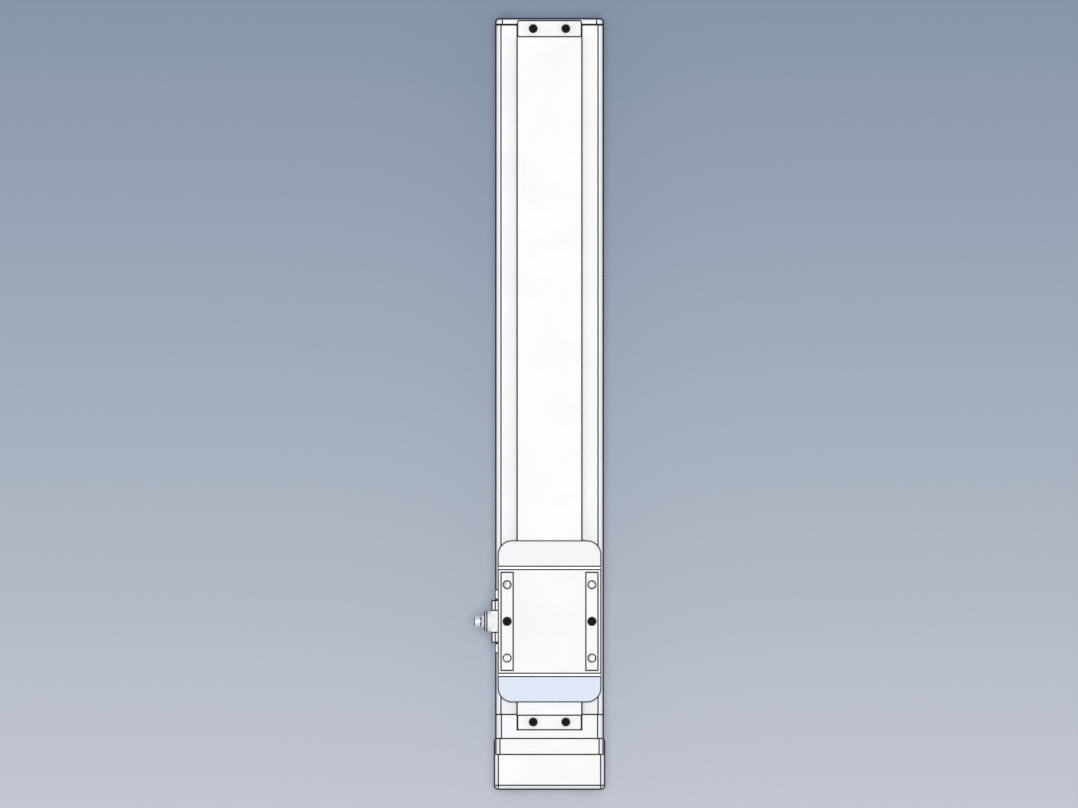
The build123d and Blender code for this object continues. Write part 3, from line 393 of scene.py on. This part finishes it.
# Painted shade: black lines round the pads, round the tapped holes, along the slider's outline and at the
# table's ends.
pads = outline(across, along, pad_half_width, pad_half_length)
from_thread = along.magnitude() - payload_half_spacing_y
holes = ring_line(across, from_thread, payload_thread_radius, line_width / 2)
table_lines = (pads.at_least(holes) * on_top).at_least(slider_lines(finish))
table_seam_shade = line_at(along.magnitude(), table_high.y - carriage_y, seam_shade_width) * facing_up(finish)
cover(["carriage_table"], white_aluminium(finish, table_lines.at_least(table_seam_shade)))


# End caps: moulded plastic covers that slope down to the wipers, each held by two
# screws. The far one is white, and the one at the motor end is painted a pale blue, as shade on its
# slope.

cap_finishes = {
    "carriage_end_cap_near": ("moulded_blue_painted_shade", (0.70, 0.755, 0.875, 1.0), (0.67, 0.725, 0.85, 1.0)),
    "carriage_end_cap_far": ("moulded_white", (0.86, 0.862, 0.87, 1.0), (0.83, 0.833, 0.842, 1.0)),
}
for name, (finish_name, pale, deep) in cap_finishes.items():
    finish = Finish(finish_name)
    grain = finish.stretched(2400.0, 2400.0, 2400.0, 2.0)
    low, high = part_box(name)
    inner_y = high.y if name.endswith("near") else low.y
    # Painted shade: black lines along the slider's outline and at the seam with the seal plate.
    seam_shade = line_at(finish.y, inner_y, seam_shade_width) * facing_up(finish)
    lines = slider_lines(finish).at_least(seam_shade)
    finish.surface(
        Base_Color=finish.blend(lines, finish.blend(grain.ramp(*middle_noise), deep, pale), painted_shade_black),
        Roughness=grain.ramp(*most_noise, 0.48, 0.6),
        Specular_IOR_Level=0.35,
        Normal=finish.bump(grain, 0.012 * mm),
    )
    cover([name], finish.material)


# Seal plates: zinc plated steel cut from sheet, one between the table and each end
# cap. The screws of the end caps hold them.

for name in ("seal_plate_near", "seal_plate_far"):
    finish = Finish("plated_" + name)
    grain = finish.stretched(900.0, 3000.0, 900.0)
    low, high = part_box(name)
    # Painted shade: black lines at both seams and along the slider's outline.
    seam_shades = line_at(finish.y, low.y, seam_shade_width).at_least(line_at(finish.y, high.y, seam_shade_width))
    seam_shades = seam_shades * facing_up(finish)
    lines = slider_lines(finish).at_least(seam_shades)
    finish.surface(
        Base_Color=finish.blend(lines, (0.84, 0.845, 0.86, 1.0), painted_shade_black),
        Metallic=0.35,
        Roughness=grain.ramp(*most_noise, 0.34, 0.46),
        Normal=finish.bump(grain, 0.003 * mm),
    )
    cover([name], finish.material)


# Lubrication port: a turned collar on a flanged plate, screwed to the carriage's
# side. The grease nipple in it is plated steel.

low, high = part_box("lube_port_block")
port_height = (low.z + high.z) / 2
finish = Finish("satin_white_port")
off_the_face = slope(finish, 0).above(-square_limit)
port_plate_face = -33.3 * mm
port_boss_face = -35.7 * mm
port_boss_half_length = 13.2 * mm
collar_radius = 6.3 * mm
collar_shoulder = -38.4 * mm
collar_face = low.x
from_axis = (finish.y - carriage_y).magnitude()
beside_collar = from_axis.above(collar_radius)
# Painted shade: black lines at the collar's shoulder and face, and round the plate and boss.
collar_lines = line_at(finish.x, collar_shoulder)
collar_lines = collar_lines.at_least(line_at(finish.x, collar_face, 2 * line_width)) * off_the_face
plate_lines = line_at(finish.x, port_boss_face + line_width / 2)
plate_lines = plate_lines.at_least(line_at(finish.x, port_plate_face))
plate_lines = plate_lines.at_least(line_at(from_axis, port_boss_half_length, 2 * line_width))
plate_lines = plate_lines.at_least(line_at(from_axis, collar_radius + line_width / 2))
plate_lines = plate_lines.at_least(line_at(from_axis, high.y - carriage_y, 2 * line_width))
port_lines = collar_lines.at_least(plate_lines * beside_collar * facing_up(finish))
cover(["lube_port_block"], white_aluminium(finish, port_lines))

low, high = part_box("grease_nipple")
nipple_neck = -42.1 * mm
finish = Finish("plated_nipple")
grain = finish.stretched(1800.0, 600.0, 600.0)
# Painted shade: black rings at the nipple's neck and both ends.
nipple_lines = line_at(finish.x, nipple_neck).at_least(line_at(finish.x, high.x))
nipple_lines = nipple_lines.at_least(line_at(finish.x, low.x)) * slope(finish, 0).above(-square_limit)
finish.surface(
    Base_Color=finish.blend(nipple_lines, (0.86, 0.865, 0.875, 1.0), painted_shade_black),
    Metallic=0.55,
    Roughness=grain.ramp(*most_noise, 0.3, 0.4),
    Normal=finish.bump(grain, 0.003 * mm),
)
cover(["grease_nipple"], finish.material)


# Saddle, rails, screw line and balls: ground and hardened steels with fine
# grinding marks along the way in which each was ground. The coupling's hubs are
# turned from aluminium, with the same kind of marks round them.

def ground_steel(name, colour, grain, roughness, rougher_floors=0.0):
    """Bright metal with grinding marks, rougher by a given step where it looks up, as in holes."""
    finish = Finish(name)
    marks = finish.stretched(*grain)
    tint = finish.stretched(60.0, 60.0, 60.0, 2.0)
    deep = tuple(0.9 * value for value in colour)
    spread = 0.06
    rough = marks.ramp(*most_noise, roughness - spread, roughness + spread)
    if rougher_floors:
        rough = rough + facing_up(finish) * rougher_floors
    return finish.surface(
        Base_Color=finish.blend(tint.ramp(*middle_noise), (*deep, 1.0), (*colour, 1.0)),
        Metallic=1.0,
        Roughness=rough,
        Normal=finish.bump(marks, 0.002 * mm),
    )


saddle_steel = ground_steel(
    "ground_saddle", (0.62, 0.63, 0.65), (700.0, 25.0, 700.0), roughness=0.34, rougher_floors=0.22
)
cover(["carriage_saddle"], saddle_steel)
cover(
    ["guide_rail_left", "guide_rail_right"],
    ground_steel("ground_rail", (0.56, 0.57, 0.59), (2000.0, 15.0, 2000.0), 0.26),
)
turned = ground_steel("turned_steel", (0.58, 0.59, 0.61), (300.0, 3000.0, 300.0), 0.28)
cover(["screw_spacer", "bearing_retainer", "far_snap_ring", "ball_nut_key"], turned)
polished = ground_steel("polished_bearing_steel", (0.70, 0.71, 0.73), (1200.0, 1200.0, 1200.0), 0.16)
cover(
    [
        "ball_nut",
        "guide_balls_left",
        "guide_balls_right",
        "near_bearing_outer_rings",
        "near_bearing_inner_rings",
        "far_bearing_outer_ring",
        "far_bearing_inner_ring",
    ],
    polished,
)
turned_hub = ground_steel("turned_aluminium_hub", (0.78, 0.79, 0.80), (300.0, 3600.0, 300.0), 0.32)
cover(["coupling_hub_screw_side", "coupling_hub_motor_side"], turned_hub)


# Plastic and rubber pieces: return plates and caps of black moulded plastic, black
# rubber stops and wipers, and the red elastic star of the coupling.

def moulded(name, colour, roughness, grain=1800.0, depth=0.01 * mm):
    """Plastic or rubber with the fine grain of its mould."""
    finish = Finish(name)
    noise = finish.stretched(grain, grain, grain, 2.0)
    deep = tuple(0.75 * value for value in colour)
    spread = 0.06
    return finish.surface(
        Base_Color=finish.blend(noise.ramp(*most_noise), (*deep, 1.0), (*colour, 1.0)),
        Roughness=noise.ramp(*most_noise, roughness - spread, roughness + spread),
        Normal=finish.bump(noise, depth),
    )


black_plastic = moulded("black_plastic", (0.035, 0.035, 0.038), 0.5)
cover(
    ["guide_end_plate_near", "guide_end_plate_far", "ball_nut_caps", "coupling_access_plug"],
    black_plastic,
)
black_rubber = moulded("black_rubber", (0.028, 0.028, 0.028), 0.72)
cover(["near_bumper", "far_bumper", "wiper_near", "wiper_far"], black_rubber)
cover(["coupling_spider"], moulded("red_elastomer", (0.50, 0.035, 0.025), 0.55))


# Screws and the lock nut: forged steel, black from an oxide bath. The screws that
# can be seen have knurled heads with a rounded rim and a pressed hexagon socket,
# and the flat heads sit flush in their cones.

black_finish = Finish("black_oxide_steel")
noise = black_finish.stretched(1500.0, 1500.0, 1500.0)
deep_oxide = (0.004, 0.004, 0.0045, 1.0)
pale_oxide = (0.007, 0.007, 0.0075, 1.0)
black_oxide = black_finish.surface(
    Base_Color=black_finish.blend(noise.ramp(*most_noise), deep_oxide, pale_oxide),
    Specular_IOR_Level=0.12,
    Roughness=noise.ramp(*most_noise, 0.62, 0.78),
    Normal=black_finish.bump(noise, 0.003 * mm),
)
seen_screws = (
    "cover_clamp_screws",
    "carriage_table_screws",
    "far_support_screws",
    "far_end_cap_screws",
    "coupling_housing_screws",
    "lube_port_screws",
)
hidden_screws = [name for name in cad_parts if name.endswith("_screws") and name not in seen_screws]
cover(hidden_screws + ["bearing_lock_nut"], black_oxide)


sharp_angle = radians(28.0)


def turned_mesh(name, radius, height, seats, across, up):
    """A closed turned form at each seat, from a radius and a height for each row and each angle.

    A point lies at its seat, plus its radius times (the cosine of the angle along across, plus
    the sine along up), plus its height along the axis, which is across turned onto up by the
    right hand. The rows run from the outer end of the axis to the inner end, and one point on
    the axis closes each end.
    """
    rows, columns = radius.shape
    across, up = np.array(across, float), np.array(up, float)
    axis = np.cross(across, up)
    angle = tau * np.arange(columns) / columns
    spokes = np.cos(angle)[:, None] * across + np.sin(angle)[:, None] * up
    shell = radius[:, :, None] * spokes + height[:, :, None] * axis
    ends = height[[0, -1], 0, None] * axis
    form = np.concatenate([shell.reshape(-1, 3), ends])
    points = (np.array(seats)[:, None, :] + form).reshape(-1, 3)

    index = np.arange(rows * columns).reshape(rows, columns)
    turned = np.roll(index, -1, axis=1)
    quads = np.stack([index[:-1], index[1:], turned[1:], turned[:-1]], axis=-1).reshape(-1, 4)
    outer = np.full(columns, rows * columns)
    outer_fan = np.stack([outer, index[0], turned[0]], axis=-1)
    inner_fan = np.stack([outer + 1, turned[-1], index[-1]], axis=-1)
    fans = np.concatenate([outer_fan, inner_fan])
    shifts = np.arange(len(seats))[:, None, None] * len(form)
    mesh = bpy.data.meshes.new(name)
    faces = (quads + shifts).reshape(-1, 4).tolist() + (fans + shifts).reshape(-1, 3).tolist()
    mesh.from_pydata(points, [], faces)
    mesh.shade_smooth()
    mesh.set_sharp_from_angle(angle=sharp_angle)
    return mesh


def stand_in(name, mesh, material, body, node):
    """Puts a mesh in a CAD node's place, on the node's body."""
    piece = bpy.data.objects.new(name, mesh)
    bpy.context.scene.collection.objects.link(piece)
    mesh.materials.append(material)
    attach(piece, body)
    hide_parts(node)


knurl_columns = 4
knurl_pitch = 0.55 * mm
knurl_depth = 0.12 * mm
flat_columns = 72
core_share = 0.42
fit_gap = 0.02 * mm


def hexagon(angle, across_flats):
    """Distance to a hexagon's side: half its width over the cosine of the angle from a side's middle."""
    side = tau / 6
    return across_flats / 2 / np.cos((angle + side / 2) % side - side / 2)


def cap_screw(size, length):
    """Radius and height of a socket cap screw whose head stands on height 0.

    In the socket the radius is the hexagon's. Round the head it dips by the knurl's depth
    times how far the angle is from the nearest ridge, and everywhere else it is even.
    """
    head_radius = 0.75 * size + 0.5 * mm
    knurls = int(tau * head_radius / knurl_pitch)
    angle = tau * np.arange(knurls * knurl_columns) / (knurls * knurl_columns)
    socket = hexagon(angle, 0.8 * size)
    ridge = np.abs((angle * knurls / tau) % 1.0 - 0.5) * 2
    knurled = head_radius - knurl_depth * ridge
    even = np.ones_like(angle)
    lead_in = np.maximum(socket, 0.48 * size)
    core = core_share * size - fit_gap
    top = size
    rows = (
        (0.3 * socket, top - 0.52 * size),
        (socket, top - 0.5 * size),
        (socket, top - 0.04 * size),
        (lead_in, top),
        ((head_radius - 0.09 * size) * even, top),
        ((head_radius - 0.03 * size) * even, top - 0.03 * size),
        ((head_radius - knurl_depth) * even, top - 0.1 * size),
        (knurled, top - 0.15 * size),
        (knurled, 0.12 * size),
        ((head_radius - knurl_depth) * even, 0.07 * size),
        ((head_radius - 0.05 * size) * even, 0.0),
        (core * even, 0.0),
        (core * even, -length + 0.1 * size),
        (0.8 * core * even, -length),
    )
    return np.array([row for row, _ in rows]), np.array([height * even for _, height in rows])


def flat_screw(size, length):
    """Radius and height of a countersunk socket screw whose flat head lies at height 0."""
    angle = tau * np.arange(flat_columns) / flat_columns
    socket = hexagon(angle, 0.6 * size)
    even = np.ones_like(angle)
    rim = size - fit_gap
    core = core_share * size - fit_gap
    depth = min(0.42 * size, 0.6 * length)
    rows = (
        (0.3 * socket, -depth),
        (socket, -depth + 0.02 * size),
        (socket, -0.03 * size),
        (np.maximum(socket, 0.37 * size), 0.0),
        ((rim - 0.03 * size) * even, 0.0),
        (rim * even, -0.03 * size),
        (size / 2 * even, -0.5 * size),
        (core * even, -0.5 * size),
        (core * even, -length + 0.08 * size),
        (0.8 * core * even, -length),
    )
    return np.array([row for row, _ in rows]), np.array([height * even for _, height in rows])


def stand_in_screws(node, body, form, seats, across, up):
    """Puts the scene's screws of one form in the place of a node's plain ones."""
    radius, height = form
    mesh = turned_mesh(node, radius, height, seats, across, up)
    stand_in("socket_" + node, mesh, black_oxide, body, node)


east, north, upward = (1.0, 0.0, 0.0), (0.0, 1.0, 0.0), (0.0, 0.0, 1.0)
clamp_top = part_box("cover_clamp_near")[1].z
clamp_screw_x = 10.0 * mm
clamp_screw_y = (-216.0 * mm, 209.2 * mm)
stand_in_screws(
    "cover_clamp_screws",
    "frame",
    cap_screw(size=3 * mm, length=10.5 * mm),
    [(x, y, clamp_top) for x in (-clamp_screw_x, clamp_screw_x) for y in clamp_screw_y],
    east,
    north,
)
table_screw_sink = 3.3 * mm
stand_in_screws(
    "carriage_table_screws",
    "carriage",
    cap_screw(size=3 * mm, length=8.5 * mm),
    [(x, carriage_y, table_high.z - table_screw_sink) for x in (-pad_center, pad_center)],
    east,
    north,
)
support_screw_x = 16.0 * mm
support_screw_y = 198.5 * mm
support_screw_seat = 6.5 * mm
stand_in_screws(
    "far_support_screws",
    "frame",
    cap_screw(size=5 * mm, length=12 * mm),
    [(x, support_screw_y, support_screw_seat) for x in (-support_screw_x, support_screw_x)],
    north,
    east,
)
housing_screw_sink = 5.0 * mm
housing_screw_places = ((22.0 * mm, 6.0 * mm), (25.0 * mm, 45.0 * mm))
stand_in_screws(
    "coupling_housing_screws",
    "frame",
    cap_screw(size=4 * mm, length=33.7 * mm),
    [
        (side * x, housing_low.y + housing_screw_sink, z)
        for x, z in housing_screw_places
        for side in (-1, 1)
    ],
    east,
    upward,
)
cap_screw_x = 28.3 * mm
cap_screw_heights = (5.5 * mm, 36.2 * mm)
stand_in_screws(
    "far_end_cap_screws",
    "frame",
    flat_screw(size=4 * mm, length=13.4 * mm),
    [(x, cap_high.y, z) for x in (-cap_screw_x, cap_screw_x) for z in cap_screw_heights],
    upward,
    east,
)
port_screw_distance = 16.5 * mm
stand_in_screws(
    "lube_port_screws",
    "carriage",
    flat_screw(size=2.5 * mm, length=1.5 * mm),
    [
        (port_plate_face, carriage_y + distance, port_height)
        for distance in (-port_screw_distance, port_screw_distance)
    ],
    upward,
    north,
)


# Ball screw shaft: hardened steel with one ground groove of 10 mm lead for its balls,
# turned journals at both ends and a groove for the snap ring at the far one.

def ball_groove(angle, along, lead, ball_radius, ball_track):
    """How far the groove's floor is from the axis, and a large value outside of it.

    The middle of the groove climbs by the lead in each turn. At a distance from it along
    the shaft, the floor is the track of the balls' middles minus the height of the ball there.
    """
    offset = (angle / tau - along / lead + 0.5) % 1.0 - 0.5
    distance = offset * lead
    depth = np.sqrt(np.maximum(ball_radius**2 - distance**2, 0.0))
    return np.where(np.abs(distance) < ball_radius, ball_track - depth, np.inf)


screw_lead = 10 * mm
screw_radius = 6 * mm
screw_height = 27 * mm
screw_ball_radius = 1.25 * mm
screw_ball_track = 6.35 * mm
screw_far_y = 188.1 * mm
screw_near_y = -194.2 * mm
groove_far_y = 185.0 * mm
groove_near_y = -191.0 * mm
row_length = 0.5 * mm
shaft_columns = 64
journal_radius = 4 * mm
bearing_seat_radius = 5 * mm
# Corners of the two turned ends: radius and station in mm, from the far end to the near one.
far_corners = ((3.5, 198.1), (4.0, 197.6), (4.0, 196.1), (3.6, 196.1), (3.6, 195.1), (4.0, 195.1))
near_corners = ((5.0, -218.7), (4.0, -218.7), (4.0, -230.3), (3.5, -230.8))
far_rows = [*(np.array(far_corners) * mm), (journal_radius, screw_far_y)]
near_rows = [
    (screw_radius, screw_near_y),
    (bearing_seat_radius, screw_near_y),
    *(np.array(near_corners) * mm),
]
screw_stations = np.arange(screw_far_y, screw_near_y, -row_length)
screw_rows = np.column_stack([np.full(len(screw_stations), screw_radius), screw_stations])
even_radius, station = np.concatenate([far_rows, screw_rows, near_rows]).T
angle = tau * np.arange(shaft_columns) / shaft_columns
height = np.repeat(station[:, None], shaft_columns, axis=1)
groove = ball_groove(angle[None, :], height, screw_lead, screw_ball_radius, screw_ball_track)
grooved = (height < groove_far_y) & (height > groove_near_y)
radius = np.where(grooved, np.minimum(even_radius[:, None], groove), even_radius[:, None])
shaft_mesh = turned_mesh("ball_screw_shaft", radius, height, [(0.0, 0.0, screw_height)], upward, east)
stand_in("ball_screw_shaft", shaft_mesh, turned, "screw", "screw_shaft")


# Floor, lights and camera: a plain pale floor that deepens to a soft blue grey
# towards the far end, with a dark line of painted contact shadow where body and
# housing stand on it, an even light from above and a straight view down.

floor_size = 36.0
floor_mesh = bpy.data.meshes.new("floor")
half = floor_size / 2
floor_mesh.from_pydata(
    [(-half, -half, 0.0), (half, -half, 0.0), (half, half, 0.0), (-half, half, 0.0)], [], [(0, 1, 2, 3)]
)
floor = bpy.data.objects.new("floor", floor_mesh)
bpy.context.scene.collection.objects.link(floor)
finish = Finish("pale_floor")
picture_near = -0.269
picture_far = 0.227
floor_light = 1.09
seen_near = (0.546, 0.571, 0.645)
floor_near, floor_middle, floor_far = (
    tuple(value / floor_light for value in colour) + (1.0,)
    for colour in (seen_near, (0.376, 0.428, 0.515), (0.242, 0.305, 0.402))
)
picture_middle = (picture_near + picture_far) / 2
nearer = finish.flow.node("ShaderNodeMapRange", None, {0: finish.y, 1: picture_near, 2: picture_middle})
farther = finish.flow.node("ShaderNodeMapRange", None, {0: finish.y, 1: picture_middle, 2: picture_far})
colour = finish.blend(farther, finish.blend(nearer, floor_near, floor_middle), floor_far)
body_middle_y = (block_near_y + cap_high.y) / 2
housing_middle_y = (housing_low.y + housing_high.y) / 2
foot_corner_radius = 1.5 * mm
contact_shadow_width = 2 * line_width
# Painted contact shadow: a black line on the floor round the footprints of body and housing.
body_contact_shadow = outline(
    finish.x,
    finish.y - body_middle_y,
    body_half_width,
    cap_high.y - body_middle_y,
    foot_corner_radius,
    contact_shadow_width,
)
housing_contact_shadow = outline(
    finish.x,
    finish.y - housing_middle_y,
    housing_high.x,
    housing_high.y - housing_middle_y,
    housing_edge_radius,
    contact_shadow_width,
)
colour = finish.blend(body_contact_shadow.at_least(housing_contact_shadow), colour, painted_shade_black)
finish.surface(Base_Color=colour, Roughness=0.9, Specular_IOR_Level=0.1)
floor_mesh.materials.append(finish.material)

scene = bpy.context.scene
room_light = (0.5, 0.5, 0.5, 1.0)
world = bpy.data.worlds.new("soft_room")
world.use_nodes = True
world.node_tree.nodes.clear()
room = Flow(world.node_tree)
seen_rays = [
    room.node("ShaderNodeLightPath", output=name)
    for name in ("Is Camera Ray", "Is Glossy Ray", "Is Transmission Ray")
]
seen = (seen_rays[0] + seen_rays[1] + seen_rays[2]).at_most(1.0)
sockets = {0: seen, 6: room_light, 7: (*seen_near, 1.0)}
light = room.node("ShaderNodeMix", {"data_type": "RGBA"}, sockets, output=2)
background = room.node("ShaderNodeBackground", sockets={"Color": light})
room.node("ShaderNodeOutputWorld", sockets={"Surface": background})
scene.world = world

lamp = bpy.data.lights.new("overhead", "SUN")
lamp.energy = 1.82
lamp.angle = radians(14.0)
lamp_object = bpy.data.objects.new("overhead", lamp)
lamp_object.location = (0.0, 0.0, 2.0)
scene.collection.objects.link(lamp_object)

metres_per_pixel = 0.6132 * mm
photo_width = 1078
photo_middle_column, photo_middle_row = 539.0, 404.0
origin_column, origin_row = 549.5, 369.75
camera_height = 1.5
camera_x = (photo_middle_column - origin_column) * metres_per_pixel
camera_y = (origin_row - photo_middle_row) * metres_per_pixel
camera = bpy.data.cameras.new("camera")
camera.type = "ORTHO"
camera.ortho_scale = photo_width * metres_per_pixel
camera.clip_start = 0.01
camera.clip_end = 20.0
camera_object = bpy.data.objects.new("camera", camera)
camera_object.location = (camera_x, camera_y, camera_height)
scene.collection.objects.link(camera_object)
scene.camera = camera_object
scene.view_settings.view_transform = "Standard"
